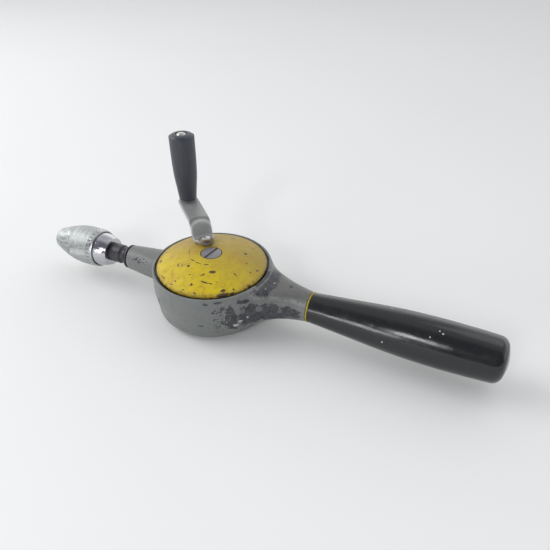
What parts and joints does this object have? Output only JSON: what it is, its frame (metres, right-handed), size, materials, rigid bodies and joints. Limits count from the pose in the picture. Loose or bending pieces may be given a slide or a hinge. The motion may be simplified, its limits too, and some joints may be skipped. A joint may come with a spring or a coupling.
{
  "type": "hand drill",
  "caption": "Hand drill: a crank on a domed gear cover turns a spindle and a three-jaw chuck through an enclosed crown gear; round handle behind.",
  "frame": {"origin": "centre of the drum's flat back face, on which the drill lies", "axes": "+X along the spindle towards the chuck, +Z along the crank's axis from the drum's back to its cover"},
  "size_m": [0.3184, 0.0874, 0.1041],
  "materials": {
    "grey_paint": "worn grey enamel on a cast body, darker where it has rubbed through",
    "yellow_paint": "aged yellow enamel with dark chips",
    "yellow_ring": "yellow, semi-gloss",
    "black_gloss": "black gloss lacquer with small white chips",
    "black_plastic": "blue-black, satin",
    "black_steel": "blackened, satin",
    "bright_steel": "bright, machined",
    "plated_steel": "dull nickel plate",
    "chrome": "polished",
    "satin_chrome": "satin, finely knurled in the middle",
    "bronze": "bearing bronze",
    "cast_iron": "machined teeth, dark web"
  },
  "bodies": {
    "frame": {"housing": "grey_paint", "front_bush": "bronze", "rear_bush": "bronze", "thrust_ball": "bright_steel", "thrust_washer": "bronze", "pivot_sleeve": "bright_steel", "pivot_washer": "bright_steel", "pivot_screw": "plated_steel", "hub_washer": "bronze", "handle": "black_gloss", "handle_ring": "yellow_ring", "handle_stud": "bright_steel"},
    "crank": {"drive_gear": "cast_iron", "gear_bush": "bronze", "cover_disc": "yellow_paint", "crank_arm": "plated_steel", "crank_rivet": "bright_steel", "knob_pin": "bright_steel", "knob_washer": "plated_steel"},
    "knob": {"crank_knob": "black_plastic"},
    "spindle": {"spindle": "black_steel", "pinion": "bright_steel", "pinion_pin": "bright_steel", "chuck_body": "chrome", "jaw_spring_1": "bright_steel", "jaw_spring_2": "bright_steel", "jaw_spring_3": "bright_steel"},
    "cone": {"jaw_cone": "bright_steel"},
    "sleeve": {"chuck_sleeve": "satin_chrome"},
    "jaw_1": {"jaw_1": "bright_steel"},
    "jaw_2": {"jaw_2": "bright_steel"},
    "jaw_3": {"jaw_3": "bright_steel"}
  },
  "joints": [
    {"name": "crank_turn", "type": "hinge", "parent": "frame", "child": "crank", "pos_m": [0, 0, 0.04], "axis": [0, 0, 1], "continuous": true},
    {"name": "knob_spin", "type": "hinge", "parent": "crank", "child": "knob", "pos_m": [0.041, -0.0396, 0.08], "axis": [0, 0, 1], "continuous": true},
    {"name": "spindle_spin", "type": "hinge", "parent": "frame", "child": "spindle", "pos_m": [0.05, 0, 0.0219], "axis": [1, 0, 0], "continuous": true},
    {"name": "sleeve_travel", "type": "slide", "parent": "spindle", "child": "cone", "axis": [-1, 0, 0], "range_m": [0, 0.0084]},
    {"name": "sleeve_turn", "type": "hinge", "parent": "cone", "child": "sleeve", "pos_m": [0.11, 0, 0.0219], "axis": [-1, 0, 0], "range_deg": [0, 1510]},
    {"name": "jaw_1_close", "type": "slide", "parent": "spindle", "child": "jaw_1", "axis": [0, 0, -1], "range_m": [0, 0.00294], "deforming": ["jaw_spring_1", "jaw_spring_2", "jaw_spring_3"]},
    {"name": "jaw_2_close", "type": "slide", "parent": "spindle", "child": "jaw_2", "axis": [0, 0.866, 0.5], "range_m": [0, 0.00294]},
    {"name": "jaw_3_close", "type": "slide", "parent": "spindle", "child": "jaw_3", "axis": [0, -0.866, 0.5], "range_m": [0, 0.00294]}
  ],
  "couplings": [
    {"joint": "spindle_spin", "follows": "crank_turn", "ratio": -4},
    {"joint": "sleeve_travel", "follows": "sleeve_turn", "m_per_rad": 0.00031831},
    {"joint": "jaw_1_close", "follows": "sleeve_turn", "m_per_rad": 0.00011141},
    {"joint": "jaw_2_close", "follows": "sleeve_turn", "m_per_rad": 0.00011141},
    {"joint": "jaw_3_close", "follows": "sleeve_turn", "m_per_rad": 0.00011141}
  ]
}
